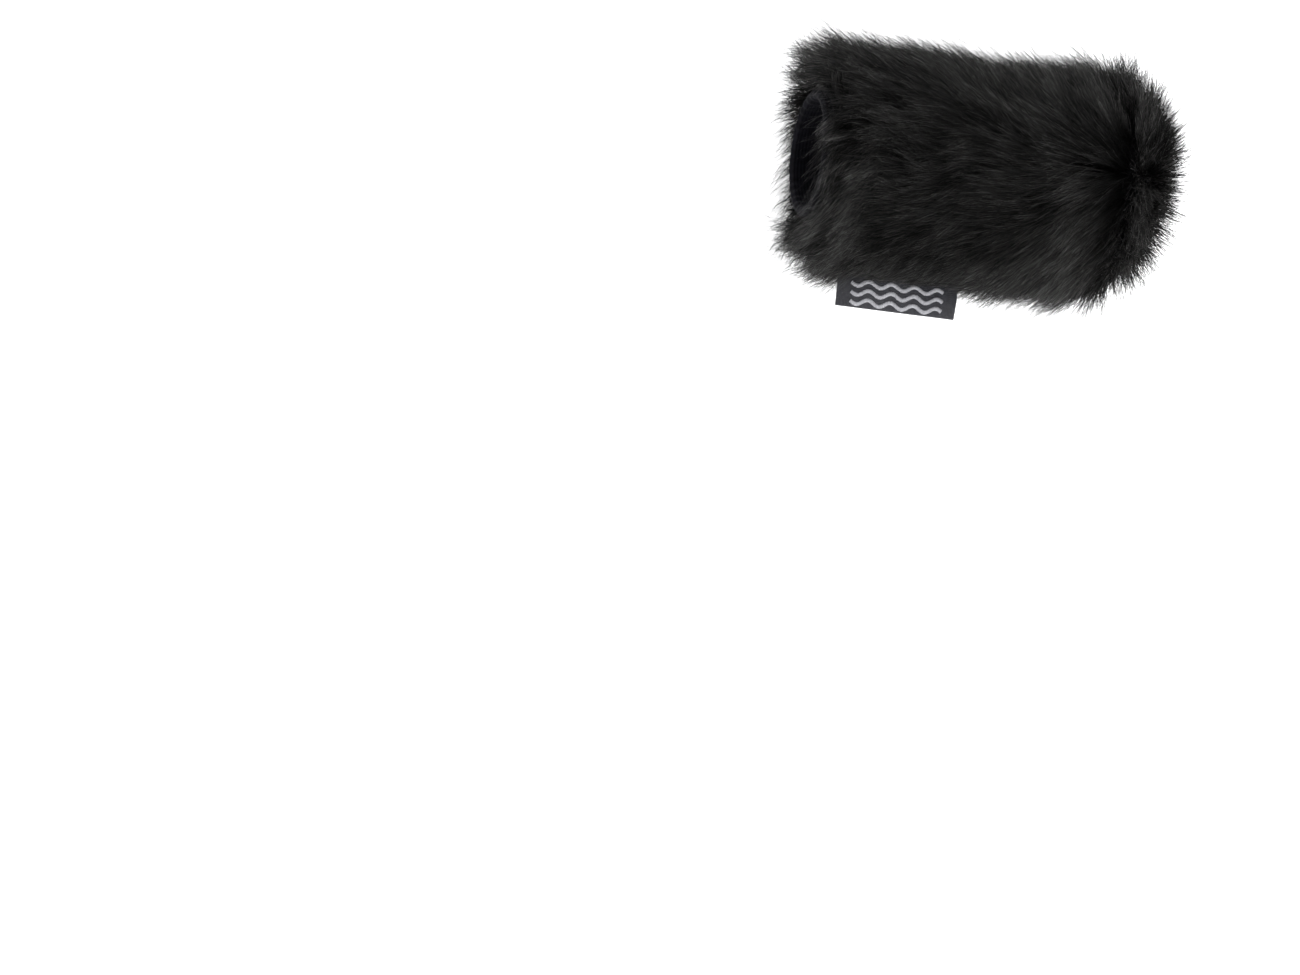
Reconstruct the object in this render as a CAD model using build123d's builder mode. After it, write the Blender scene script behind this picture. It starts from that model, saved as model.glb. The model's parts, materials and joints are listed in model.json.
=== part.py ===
from build123d import *
import os
from math import cos, radians, tan

# Furry windscreen that slips over the head of a slim round microphone. Sizes are in millimetres.
# The bore runs along X. The origin is on its axis, where the cuff's straight wall starts, just
# inside the mouth. The mouth faces -X and the closed nose +X. The windscreen lies on its side, on
# pile that its weight has pressed flat, and its label stands out to the -Y side.

# Microphone and fit
mic_diameter = 21.0
cuff_stretch = 1.0  # the relaxed cuff's bore is this much under the microphone, on diameter
pocket_play = 0.2  # the pocket is this much over the microphone, on diameter
pocket_depth = 55.0  # from the origin to the pocket's closed end

# Elastic cuff, a tape folded over a woven elastic band
cuff_wall = 2.2
grip_length = 7.0  # straight part of the cuff's wall
cuff_leg = 0.6  # one layer of the folded tape
elastic_gap = 0.05  # between the elastic and the tape round it
elastic_short = 0.8  # the elastic stops this far before the tape's open end
elastic_start = 0.2

# Lining and foam
lining_thick = 0.4
foam_wall = 5.0
foam_nose = 7.5  # foam between the pocket's end and the nose panel
foam_mouth_corner = 1.5
nose_corner = 5.5
seam_back = 0.3  # the nose seam lies this far behind the nose's round corner

# Knitted backing of the fur
backing_thick = 1.0
turn_x = 3.0  # outer face of the end that is turned in round the cuff
lip_length = 2.6  # the turned-in edge runs this far forward along the cuff
fin_height = 2.4  # the seams' allowances stand up this far into the pile
allowance_thick = 0.7  # each of the side seam's two, squeezed by its stitches

# Pile, as the closed shape that the hairs fill
pile_height = 6.8
pile_height_nose = 6.4
pile_front = -2.4  # the hairs reach this far past the mouth
pile_mouth_corner = 6.0
pile_nose_corner = 12.5
pile_seam_corner = 1.5
funnel_gap = 0.6  # between the cuff's seam and the hairs parted round it
funnel_mouth = 16.5  # radius of the parting where the hairs end
pressed_flat = 1.2  # how far the underside is pressed in where the windscreen lies
pile_gap = 0.2  # between a seam and the hairs beside it
parting_gap = 0.4  # between the label and the hairs, over the whole swing

# Thread
thread_radius = 0.15  # where it passes through cloth
float_radius = 0.22  # where it lies on the cloth and has sprung open
float_length = 2.2
hole_gap = 0.02
nose_stitches = 32
cuff_stitches_count = 26
stitch_pitch = 3.3  # along the side seam

# Label, a woven ribbon folded double and sewn into the side seam
label_start = 7.0
label_width = 23.0
label_tip = 27.2  # how far the fold stands from the bore's axis
label_leaf = 0.22
label_leaf_gap = 0.06
label_root = 1.0  # ribbon below the stitch line
label_end_gap = 0.3
label_side_gap = 0.15  # to the seam's allowances, at the end of the swing
label_slot_floor = 0.2  # cloth left under the label's root
label_hole_radius = 0.45
label_swing = 20.0  # degrees to each side
label_first_stitch = 1.6  # from the label's edge

# Woven motif on the label, three wind waves
wave_count = 3
wave_spacing = 1.45
wave_half = 2.2  # half a wave's length
wave_halves = 8
wave_rise = 0.4
wave_stroke = 0.6
motif_thick = 0.12
motif_centre = 24.5  # from the bore's axis

# Radii and places that follow from these
cuff_inner = (mic_diameter - cuff_stretch) / 2
cuff_outer = cuff_inner + cuff_wall
pocket_radius = (mic_diameter + pocket_play) / 2
lining_outer = pocket_radius + lining_thick
foam_outer = lining_outer + foam_wall
backing_outer = foam_outer + backing_thick
fin_top = backing_outer + fin_height
pile_outer = backing_outer + pile_height
lip_outer = cuff_outer + backing_thick
cuff_rim = cuff_wall / 2
foam_start = turn_x + backing_thick
pocket_end = pocket_depth + lining_thick
nose_face = pocket_end + foam_nose
seam_x = nose_face - nose_corner - seam_back
backing_nose = nose_face + backing_thick
pile_nose = backing_nose + pile_height_nose
mouth_corner = foam_mouth_corner + backing_thick
fin_start = turn_x + mouth_corner + pile_gap
float_rise = 2 * float_radius
seam_clear = backing_thick + float_rise + pile_gap
floor_z = pressed_flat - pile_outer
stitch_line = backing_outer + label_slot_floor + label_root + label_end_gap / 2
label_thick = 2 * label_leaf + label_leaf_gap
label_end = label_start + label_width
label_at_hinge = label_thick / 2 / cos(radians(label_swing))
label_slope = tan(radians(label_swing))
slot_half = label_at_hinge + (fin_top - stitch_line) * label_slope + label_side_gap
fin_half = slot_half + allowance_thick
groove_half = fin_half + float_rise + pile_gap

# Stitches along the side seam. Those that fall on the label hold it.
first_stitch = label_start + label_first_stitch
label_stitch_count = int((label_width - 2 * label_first_stitch) / stitch_pitch) + 1
label_stitch_x = [first_stitch + i * stitch_pitch for i in range(label_stitch_count)]
stitches_before = int((first_stitch - fin_start - float_length / 2) / stitch_pitch)
room_after = seam_x - backing_thick - float_length - label_stitch_x[-1]
stitches_after = int(room_after / stitch_pitch)
side_stitch_x = [first_stitch - (i + 1) * stitch_pitch for i in range(stitches_before)]
side_stitch_x += [label_stitch_x[-1] + (i + 1) * stitch_pitch for i in range(stitches_after)]


def band(x0, x1, r0, r1, mode=Mode.ADD):
    """A rectangle of a revolved outline, from x0 to x1 along the bore and r0 to r1 out from it."""
    with Locations(((x0 + x1) / 2, (r0 + r1) / 2)):
        Rectangle(x1 - x0, r1 - r0, mode=mode)


def dome(x0, x1, radius, corner):
    """A revolved outline that is filled to the axis, with a round corner at its +X end."""
    with BuildLine() as outline:
        Polyline((x0, 0), (x0, radius), (x1 - corner, radius))
        RadiusArc((x1 - corner, radius), (x1, radius - corner), corner)
        Polyline((x1, radius - corner), (x1, 0), (x0, 0))
    make_face(outline.edges())


def round_corner(sketch, x, r, radius):
    """Rounds the corner of a revolved outline that lies at (x, r)."""
    fillet(sketch.vertices().sort_by_distance((x, r))[0], radius=radius)


def side_threads(places, radius, mode=Mode.ADD):
    """Threads that pass through both allowances of the side seam, along Z."""
    with Locations(*[(x, -stitch_line, 0) for x in places]):
        Cylinder(radius, 2 * fin_half + float_rise, mode=mode)


def side_floats(places):
    """The lengths of thread that lie on the side seam's two faces, along X."""
    height = fin_half + float_radius
    with Locations(*[(x, -stitch_line, side * height) for x in places for side in (-1, 1)]):
        Cylinder(float_radius, float_length, rotation=(0, 90, 0))


def round_nose_seam():
    """The places round the nose seam where a stitch stands: all but the one on the side seam."""
    pitch = 360 / nose_stitches
    return PolarLocations(
        backing_outer + fin_height / 2,
        nose_stitches - 1,
        start_angle=180 + pitch,
        angular_range=360 - 2 * pitch,
        endpoint=True,
    )


def nose_threads(radius, mode=Mode.ADD):
    """Threads that pass through both allowances of the nose seam, along X."""
    with Locations(Plane.YZ.offset(seam_x)):
        with round_nose_seam():
            Cylinder(radius, 2 * backing_thick + float_rise, mode=mode)


def cuff_threads(radius, mode=Mode.ADD):
    """Threads that pin the turned-in edge to the cuff's outer layer, pointing at the bore."""
    inner = cuff_outer - cuff_leg - elastic_gap / 2
    outer = lip_outer + float_radius
    with Locations(Plane.YZ.offset(turn_x - lip_length / 2)):
        with PolarLocations((inner + outer) / 2, cuff_stitches_count):
            Cylinder(radius, outer - inner, rotation=(0, 90, 0), mode=mode)


# Cuff: the tape is folded over the elastic, with the fold rolled into the mouth's rim.
with BuildPart() as cuff_tape:
    with BuildSketch():
        band(0, grip_length, cuff_inner, cuff_outer)
        with Locations((0, cuff_inner + cuff_rim)):
            Circle(cuff_rim)
        band(0, grip_length, cuff_inner + cuff_leg, cuff_outer - cuff_leg, mode=Mode.SUBTRACT)
    revolve(axis=Axis.X)
    cuff_threads(thread_radius + hole_gap, mode=Mode.SUBTRACT)

with BuildPart() as cuff_elastic:
    with BuildSketch():
        band(
            elastic_start,
            grip_length - elastic_short,
            cuff_inner + cuff_leg + elastic_gap,
            cuff_outer - cuff_leg - elastic_gap,
        )
    revolve(axis=Axis.X)

with BuildPart() as cuff_stitches:
    cuff_threads(thread_radius)
    with Locations(Plane.YZ.offset(turn_x - lip_length / 2)):
        with PolarLocations(lip_outer + float_radius, cuff_stitches_count):
            Cylinder(float_radius, float_length, rotation=(90, 0, 0))

# Lining: a knitted sock that the microphone slides along.
with BuildPart() as lining_sock:
    with BuildSketch():
        band(grip_length, pocket_end, pocket_radius, lining_outer)
        band(pocket_depth, pocket_end, 0, lining_outer)
    revolve(axis=Axis.X)

# Foam: an open-celled sleeve, with a domed plug glued on its front.
with BuildPart() as foam_sleeve:
    with BuildSketch() as sleeve_outline:
        band(foam_start, pocket_end, lining_outer, foam_outer)
        round_corner(sleeve_outline, foam_start, foam_outer, foam_mouth_corner)
        band(foam_start, grip_length, lining_outer, cuff_outer, mode=Mode.SUBTRACT)
    revolve(axis=Axis.X)

with BuildPart() as foam_nose_plug:
    with BuildSketch():
        dome(pocket_end, nose_face, foam_outer, nose_corner)
    revolve(axis=Axis.X)

# Backing of the tube panel: turned in round the cuff, and sewn along the -Y side.
with BuildPart() as tube_backing:
    with BuildSketch() as tube_outline:
        band(turn_x, seam_x, foam_outer, backing_outer)
        band(turn_x, foam_start, cuff_outer, backing_outer)
        round_corner(tube_outline, turn_x, backing_outer, mouth_corner)
        round_corner(tube_outline, foam_start, foam_outer, foam_mouth_corner)
        band(turn_x - lip_length, foam_start, cuff_outer, lip_outer)
        band(seam_x - backing_thick, seam_x, foam_outer, fin_top)
    revolve(axis=Axis.X)
    with Locations(((fin_start + seam_x - backing_thick) / 2, -(foam_outer + fin_top) / 2, 0)):
        Box(seam_x - backing_thick - fin_start, fin_top - foam_outer, 2 * fin_half)
    with BuildSketch() as bore_of_tube:
        band(foam_start, seam_x, 0, foam_outer)
        round_corner(bore_of_tube, foam_start, foam_outer, foam_mouth_corner)
    revolve(axis=Axis.X, mode=Mode.SUBTRACT)
    slot_floor = backing_outer + label_slot_floor
    with Locations(((label_start + label_end) / 2, -(slot_floor + fin_top) / 2, 0)):
        Box(
            label_width + 2 * label_end_gap,
            fin_top - slot_floor,
            2 * slot_half,
            mode=Mode.SUBTRACT,
        )
    side_threads(side_stitch_x + label_stitch_x, thread_radius + hole_gap, mode=Mode.SUBTRACT)
    nose_threads(thread_radius + hole_gap, mode=Mode.SUBTRACT)
    cuff_threads(thread_radius + hole_gap, mode=Mode.SUBTRACT)

# Backing of the round nose panel, with its own seam allowance.
with BuildPart() as nose_backing:
    with BuildSketch():
        dome(seam_x, backing_nose, backing_outer, nose_corner + backing_thick)
        band(seam_x, seam_x + backing_thick, 0, fin_top)
    revolve(axis=Axis.X)
    with BuildSketch():
        dome(seam_x, nose_face, foam_outer, nose_corner)
    revolve(axis=Axis.X, mode=Mode.SUBTRACT)
    nose_threads(thread_radius + hole_gap, mode=Mode.SUBTRACT)

# Seams
with BuildPart() as side_seam_stitches:
    side_threads(side_stitch_x, thread_radius)
    side_floats(side_stitch_x)

with BuildPart() as label_stitches:
    side_threads(label_stitch_x, thread_radius)
    side_floats(label_stitch_x)

with BuildPart() as nose_seam_stitches:
    nose_threads(thread_radius)
    for face in (-1, 1):
        with Locations(Plane.YZ.offset(seam_x + face * (backing_thick + float_radius))):
            with round_nose_seam():
                Cylinder(float_radius, float_length, rotation=(90, 0, 0))

# Pile of the tube panel: parted round the cuff, over the side seam and round the label.
with BuildPart() as tube_pile:
    pile_end = seam_x - seam_clear
    with BuildSketch() as tube_pile_outline:
        with BuildLine():
            Polyline(
                (turn_x, lip_outer + funnel_gap),
                (pile_front, funnel_mouth),
                (pile_front, pile_outer),
                (pile_end, pile_outer),
                (pile_end, backing_outer),
                (turn_x, backing_outer),
                close=True,
            )
        make_face()
        round_corner(tube_pile_outline, pile_front, pile_outer, pile_mouth_corner)
        round_corner(tube_pile_outline, pile_end, pile_outer, pile_seam_corner)
        round_corner(tube_pile_outline, turn_x, backing_outer, mouth_corner)
    revolve(axis=Axis.X)
    groove_top = fin_top + pile_gap
    with Locations(((fin_start - pile_gap + pile_end) / 2, -(foam_outer + groove_top) / 2, 0)):
        Box(
            pile_end - fin_start + pile_gap,
            groove_top - foam_outer,
            2 * groove_half,
            mode=Mode.SUBTRACT,
        )
    with BuildSketch(Plane.YZ.offset(label_start - label_end_gap)):
        reach = pile_outer + 1 - stitch_line
        at_hinge = label_at_hinge + parting_gap
        at_reach = at_hinge + reach * label_slope
        with BuildLine():
            Polyline(
                (-stitch_line, at_hinge),
                (-stitch_line - reach, at_reach),
                (-stitch_line - reach, -at_reach),
                (-stitch_line, -at_hinge),
                close=True,
            )
        make_face()
    extrude(amount=label_width + 2 * label_end_gap, mode=Mode.SUBTRACT)
    split(bisect_by=Plane.XY.offset(floor_z), keep=Keep.TOP)

# Pile of the nose panel: a rounded cap whose edge meets the tube's pile in a notch.
with BuildPart() as nose_pile:
    with BuildSketch():
        dome(seam_x + pile_gap, pile_nose, pile_outer, pile_nose_corner)
    revolve(axis=Axis.X)
    with BuildSketch():
        dome(seam_x, backing_nose, backing_outer, nose_corner + backing_thick)
    revolve(axis=Axis.X, mode=Mode.SUBTRACT)
    with BuildSketch():
        with BuildLine():
            Polyline(
                (seam_x, 0),
                (seam_x, pile_outer + 1),
                (seam_x + pile_gap, pile_outer),
                (seam_x + seam_clear, fin_top + pile_gap),
                (seam_x + seam_clear, 0),
                close=True,
            )
        make_face()
    revolve(axis=Axis.X, mode=Mode.SUBTRACT)
    split(bisect_by=Plane.XY.offset(floor_z), keep=Keep.TOP)

# Label: two leaves that meet in a round fold, with a hole for each thread that holds them.
with BuildPart() as label:
    with BuildSketch(Plane.YZ.offset(label_start)):
        root = stitch_line - label_root
        middle = (root + label_tip) / 2
        with Locations((-middle, 0)):
            ribbon = Rectangle(label_tip - root, label_thick)
        fillet(ribbon.vertices().group_by(Axis.Y)[0], radius=label_thick * 0.49)
        with Locations((-middle + label_leaf, 0)):
            Rectangle(label_tip - root, label_leaf_gap, mode=Mode.SUBTRACT)
    extrude(amount=label_width)
    with Locations(*[(x, -stitch_line, 0) for x in label_stitch_x]):
        Cylinder(label_hole_radius, 2 * label_thick, mode=Mode.SUBTRACT)

# Motif: raised satin stitching on the label's upper leaf.
with BuildPart() as label_motif:
    with BuildSketch(Plane.XY.offset(label_thick / 2)):
        for row in range(wave_count):
            across = (row - (wave_count - 1) / 2) * wave_spacing - motif_centre
            start = (label_start + label_end - wave_half * wave_halves) / 2
            with BuildLine() as wave:
                for half in range(wave_halves):
                    x = start + half * wave_half
                    rise = wave_rise if half % 2 else -wave_rise
                    ThreePointArc(
                        (x, across),
                        (x + wave_half / 2, across + rise),
                        (x + wave_half, across),
                    )
            trace(wave.line, line_width=wave_stroke)
    extrude(amount=motif_thick)

pieces = {
    "cuff_tape": cuff_tape,
    "cuff_elastic": cuff_elastic,
    "cuff_stitches": cuff_stitches,
    "lining_sock": lining_sock,
    "foam_sleeve": foam_sleeve,
    "foam_nose_plug": foam_nose_plug,
    "tube_backing": tube_backing,
    "nose_backing": nose_backing,
    "side_seam_stitches": side_seam_stitches,
    "nose_seam_stitches": nose_seam_stitches,
    "label_stitches": label_stitches,
    "tube_pile": tube_pile,
    "nose_pile": nose_pile,
    "label": label,
    "label_motif": label_motif,
}
os.makedirs("parts", exist_ok=True)
for name, piece in pieces.items():
    piece.part.label = name
    export_step(piece.part, f"parts/{name}.step")
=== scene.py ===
import json
import math

import bpy
import numpy as np
from mathutils import Matrix, Vector, kdtree


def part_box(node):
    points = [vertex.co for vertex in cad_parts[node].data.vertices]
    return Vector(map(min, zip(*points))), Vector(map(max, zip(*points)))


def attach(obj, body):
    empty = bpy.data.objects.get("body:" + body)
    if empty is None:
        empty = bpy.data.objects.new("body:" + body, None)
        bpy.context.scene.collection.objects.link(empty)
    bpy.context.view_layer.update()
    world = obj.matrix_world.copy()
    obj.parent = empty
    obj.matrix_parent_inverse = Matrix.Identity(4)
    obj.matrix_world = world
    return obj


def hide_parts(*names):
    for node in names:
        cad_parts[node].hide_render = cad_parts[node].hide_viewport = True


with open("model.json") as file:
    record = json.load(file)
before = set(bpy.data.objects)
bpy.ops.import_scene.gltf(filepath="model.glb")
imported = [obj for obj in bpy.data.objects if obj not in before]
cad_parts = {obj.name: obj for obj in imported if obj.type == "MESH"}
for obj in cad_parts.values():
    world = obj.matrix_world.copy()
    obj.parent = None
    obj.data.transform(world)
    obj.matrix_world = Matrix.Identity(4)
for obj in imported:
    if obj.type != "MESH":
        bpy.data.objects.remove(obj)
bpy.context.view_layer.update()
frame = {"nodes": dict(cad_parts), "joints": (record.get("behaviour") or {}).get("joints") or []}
mm = 0.001


def say(stage):
    print("windscreen:", stage)


def newMaterial(name):
    material = bpy.data.materials.new(name)
    material.use_nodes = True
    nodes = material.node_tree.nodes
    return material, nodes, material.node_tree.links, nodes["Principled BSDF"]


def finish(shader, roughness, specular=0.5):
    shader.inputs["Roughness"].default_value = roughness
    shader.inputs["Specular IOR Level"].default_value = specular


def addNode(nodes, kind, **values):
    node = nodes.new(kind)
    for key, value in values.items():
        setattr(node, key, value)
    return node


def deselect():
    for piece in bpy.context.selected_objects:
        piece.select_set(False)


def link(name, mesh, material):
    piece = bpy.data.objects.new(name, mesh)
    bpy.context.scene.collection.objects.link(piece)
    mesh.materials.append(material)
    return piece


def build(name, points, edges, faces, material):
    mesh = bpy.data.meshes.new(name)
    mesh.from_pydata(points, edges, faces)
    return link(name, mesh, material)


# one piece of many copies of a shape, each copy with its own points
def buildCopies(name, copies, faces, material):
    count = len(copies[0])
    allFaces = [tuple(k * count + i for i in f) for k in range(len(copies)) for f in faces]
    piece = build(name, np.concatenate(copies).tolist(), [], allFaces, material)
    piece.data.shade_smooth()
    return piece


def startEditing(piece):
    deselect()
    piece.select_set(True)
    bpy.context.view_layer.objects.active = piece
    bpy.ops.object.mode_set(mode="EDIT")
    bpy.ops.mesh.select_all(action="SELECT")


def endEditing():
    bpy.ops.mesh.normals_make_consistent(inside=False)
    bpy.ops.object.mode_set(mode="OBJECT")


# points of an arc in the (x, radius) plane, with angles in degrees from +X
def arc(x, r, radius, start, end, steps):
    turns = [math.radians(start + (end - start) * i / steps) for i in range(steps + 1)]
    return [(x + radius * math.cos(a), r + radius * math.sin(a)) for a in turns]


# spins an (x, radius) outline round the bore's axis
def turned(name, outline, steps, material, closed=True):
    count = len(outline)
    edges = [(i, (i + 1) % count) for i in range(count if closed else count - 1)]
    piece = build(name, [(x, 0, r) for x, r in outline], edges, [], material)
    startEditing(piece)
    bpy.ops.mesh.spin(steps=steps, angle=2 * math.pi, center=(0, 0, 0), axis=(1, 0, 0))
    bpy.ops.mesh.select_all(action="SELECT")
    bpy.ops.mesh.remove_doubles(threshold=0.002 * mm)
    endEditing()
    bpy.ops.object.shade_smooth()
    return piece


# moves each point of a piece by a function of its coordinates, as three arrays
def reshape(piece, move):
    count = len(piece.data.vertices)
    points = np.empty(count * 3)
    piece.data.vertices.foreach_get("co", points)
    x, y, z = points.reshape(count, 3).T
    piece.data.vertices.foreach_set("co", np.stack(move(x, y, z), 1).ravel())
    piece.data.update()


# makes one piece of several
def joined(name, parts):
    deselect()
    for part in parts:
        part.select_set(True)
    bpy.context.view_layer.objects.active = parts[0]
    bpy.ops.object.join()
    parts[0].name = name
    parts[0].data.name = name
    return parts[0]


# a wave along one axis of a vector, for ribs and weaves
def grooves(nodes, links, source, across, scale):
    split = addNode(nodes, "ShaderNodeSeparateXYZ")
    links.new(source, split.inputs[0])
    times = addNode(nodes, "ShaderNodeMath", operation="MULTIPLY")
    times.inputs[1].default_value = 2 * math.pi * scale
    links.new(split.outputs[across], times.inputs[0])
    wave = addNode(nodes, "ShaderNodeMath", operation="SINE")
    links.new(times.outputs[0], wave.inputs[0])
    return wave.outputs[0]


# object coordinates unrolled: X along the bore, and Y round it as a length
def roundTheBore(nodes, links, place, radius):
    split = addNode(nodes, "ShaderNodeSeparateXYZ")
    links.new(place, split.inputs[0])
    turn = addNode(nodes, "ShaderNodeMath", operation="ARCTAN2")
    links.new(split.outputs["Y"], turn.inputs[0])
    links.new(split.outputs["Z"], turn.inputs[1])
    length = addNode(nodes, "ShaderNodeMath", operation="MULTIPLY")
    length.inputs[1].default_value = radius
    links.new(turn.outputs[0], length.inputs[0])
    unrolled = addNode(nodes, "ShaderNodeCombineXYZ")
    links.new(split.outputs["X"], unrolled.inputs[0])
    links.new(length.outputs[0], unrolled.inputs[1])
    return unrolled.outputs[0]


def bumpFrom(nodes, links, height, shader, strength, distance):
    bump = addNode(nodes, "ShaderNodeBump")
    bump.inputs["Strength"].default_value = strength
    bump.inputs["Distance"].default_value = distance
    links.new(height, bump.inputs["Height"])
    links.new(bump.outputs[0], shader.inputs["Normal"])


def ramp(nodes, links, source, stops):
    node = addNode(nodes, "ShaderNodeValToRGB")
    while len(node.color_ramp.elements) < len(stops):
        node.color_ramp.elements.new(0.5)
    for element, (at, tone) in zip(node.color_ramp.elements, stops):
        element.position = at
        element.color = (*tone, 1)
    links.new(source, node.inputs[0])
    return node.outputs[0]


# colour that wanders between two tones
def mottled(nodes, links, source, shader, dark, light, scale, detail=4):
    noiseNode = addNode(nodes, "ShaderNodeTexNoise")
    noiseNode.inputs["Scale"].default_value = scale
    noiseNode.inputs["Detail"].default_value = detail
    links.new(source, noiseNode.inputs["Vector"])
    tone = ramp(nodes, links, noiseNode.outputs["Fac"], ((0.35, dark), (0.68, light)))
    links.new(tone, shader.inputs["Base Color"])


# a mottled cloth with ribs as (axis, number per mm); mix adds that share of the second row
def cloth(name, dark, light, grain, gloss, ribs=(), mix=None, bump=None, radius=None, detail=4, sheen=0):
    material, nodes, links, shader = newMaterial(name)
    source = addNode(nodes, "ShaderNodeTexCoord").outputs["Object"]
    if radius:
        source = roundTheBore(nodes, links, source, radius)
    mottled(nodes, links, source, shader, dark, light, grain, detail)
    rows = [grooves(nodes, links, source, axis, perMm / mm) for axis, perMm in ribs]
    if len(rows) > 1:
        both = addNode(nodes, "ShaderNodeMath", operation="MULTIPLY_ADD" if mix else "MULTIPLY")
        both.inputs[1].default_value = mix or 0
        links.new(rows[1], both.inputs[0])
        links.new(rows[0], both.inputs[2 if mix else 1])
        rows = [both.outputs[0]]
    if rows:
        bumpFrom(nodes, links, rows[0], shader, *bump)
    finish(shader, *gloss)
    shader.inputs["Sheen Weight"].default_value = sheen
    return material


foamLow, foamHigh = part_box("foam_sleeve")
plugLow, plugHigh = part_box("foam_nose_plug")
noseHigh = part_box("nose_backing")[1]
tubeLow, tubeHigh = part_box("tube_backing")
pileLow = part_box("tube_pile")[0]
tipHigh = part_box("nose_pile")[1]
labelLow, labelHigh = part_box("label")
knit = noseHigh.x - plugHigh.x
hinge = frame["joints"][0]["pos_m"]
labelEnd = labelHigh.x + 1.5 * mm  # the ribbon spreads a little past its CAD end

skin = {  # the knitted backing's outer face, that the hairs are rooted in
    "radius": foamHigh.z + knit,
    "turn": foamLow.x - knit,  # the end turned in round the cuff
    "seam": tubeHigh.x,
    "nose": noseHigh.x,
    "mouthCorner": 2.5 * mm,
    "noseCorner": 6.5 * mm,
    "firstHair": 13.6 * mm,  # radius where the hairs start, beside the cuff
}

# the outer shape that the hairs are brushed to; each pair is a size and how much more it is
# on the side away from the label
envelope = {
    "radius": (23.4 * mm, -1.3 * mm),
    "front": pileLow.x - 0.5 * mm,
    "frontLean": (0.03, 0.11, 0.25, 0.08),  # above and below the middle, away from the label, near it
    "frontCorner": (3.8 * mm, -2.2 * mm),
    "nose": tipHigh.x + 1.2 * mm,
    "noseLength": (21.0 * mm, -11.5 * mm),
    "nosePower": (2.55, 0.45),  # 2 is an ellipse, and more is boxier
    "shoulder": (1.5 * mm, 36 * mm, 12 * mm),  # fuller fur near the nose seam: height, start, length
    "funnel": (0.8, 17 * mm, 4.5 * mm),  # how the front falls in towards the mouth, at its top
    "floor": pileLow.z,
}

coat = {  # the main hairs, gathered into locks
    "kind": "Fur",
    "hairs": (61000, 23000),  # on the tube, and on the nose
    "sectors": (6, 2),
    "rings": (0.0, 0.36, 0.7, 1.0),
    "widths": (0.9, 1.0, 0.62),
    "width": (0.12 * mm, 0.15 * mm),
    "length": (12.5 * mm, 12.5 * mm),
    "first": ((12, 52), (5, 45)),  # angles from the skin's normal, at the root
    "last": ((52, 92), (35, 85)),  # and at the tip
    "pull": (0.8, 0.36),
    "limit": ((0.90, 0.05, 0.06), (0.86, 0.055, 0.06)),  # fullness: base, spread, strays' reach
    "strays": 0.15,
    "tone": (0.7, 0.42, -0.09),
}

wisps = {  # fine hairs that stand out past the rest
    "kind": "Wisps",
    "hairs": (33000, 10500),
    "sectors": (2, 1),
    "rings": (0.0, 0.55, 1.0),
    "widths": (1.0, 0.8),
    "width": (0.075 * mm, 0.08 * mm),
    "length": (15.0 * mm, 14.0 * mm),
    "first": ((8, 50), (0, 50)),
    "last": ((45, 85), (20, 85)),
    "pull": (0.35, 0.25),
    "limit": ((0.955, 0.045, 0.105), (0.94, 0.05, 0.11)),
    "strays": 1.0,
    # the wisps' extra 0.36 of tone is painted light: it lightens the stray hairs at the fur's edges
    "tone": (0.35, 0.35, 0.36),
}

locks = {
    "counts": (1000, 11000),  # coarse locks, and the fine ones that they gather
    "pull": 0.5,
    "reach": 0.055,  # how unevenly the locks reach the outer shape
    "lengthSpread": 0.2,
    "tone": (0.48, 0.24, 0.44),  # middle, and the spreads of the coarse and the fine locks
    "seed": 7,
}


# (x, radius) along the backing from the mouth to the nose, and the outward normal
def skinPath():
    radius, mouth, tip = skin["radius"], skin["mouthCorner"], skin["noseCorner"]
    points = [(skin["turn"], skin["firstHair"], -1, 0)]
    for x, corner, start, steps in (
        (skin["turn"] + mouth, mouth, math.pi, 12),
        (skin["nose"] - tip, tip, math.pi / 2, 24),
    ):
        for i in range(steps + 1):
            a = start - i / steps * math.pi / 2
            out, up = math.cos(a), math.sin(a)
            points.append((x + corner * out, radius - corner + corner * up, out, up))
    points.append((skin["nose"], 0.1 * mm, 1, 0))
    seam, fin = skin["seam"], tubeHigh.z
    rim = [p for p in points if p[0] < seam - knit]
    front = [p for p in points if p[0] > seam + knit]
    ridge = [(seam - knit, radius, -0.3, 1), (seam - knit, fin, -0.7, 0.7), (seam, fin, 0, 1)]
    ridge += [(seam + knit, fin, 0.7, 0.7), (seam + knit, radius, 0.3, 1)]
    path = np.array(rim + ridge + front)
    fine = []
    for a, b in zip(path[:-1], path[1:]):
        steps = max(1, int(np.hypot(*(b - a)[:2]) / (0.1 * mm)))
        for k in range(steps):
            fine.append(a + (b - a) * k / steps)
    return np.array(fine + [path[-1]])


# roots spread evenly over the skin between two x, as points and outward normals
def scatter(rng, count, low, high):
    path = skinPath()
    path = path[(path[:, 0] >= low - 1e-9) & (path[:, 0] <= high + 1e-9)]
    step = np.hypot(np.diff(path[:, 0]), np.diff(path[:, 1]))
    area = np.concatenate([[0], np.cumsum(step * (path[1:, 1] + path[:-1, 1]) / 2)])
    pick = np.interp(rng.random(count), area / area[-1], np.arange(len(path)))
    row = pick.astype(int).clip(0, len(path) - 2)
    share = (pick - row)[:, None]
    at = path[row] * (1 - share) + path[row + 1] * share
    angle = rng.random(count) * 2 * math.pi  # 0 is up, a quarter turn is the label's side
    across = np.stack([np.zeros(count), -np.sin(angle), np.cos(angle)], 1)
    root = across * at[:, 1:2]
    root[:, 0] = at[:, 0]
    normal = across * at[:, 3:4]
    normal[:, 0] = at[:, 2]
    normal /= np.linalg.norm(normal, axis=1)[:, None]
    return root, normal, angle


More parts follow.
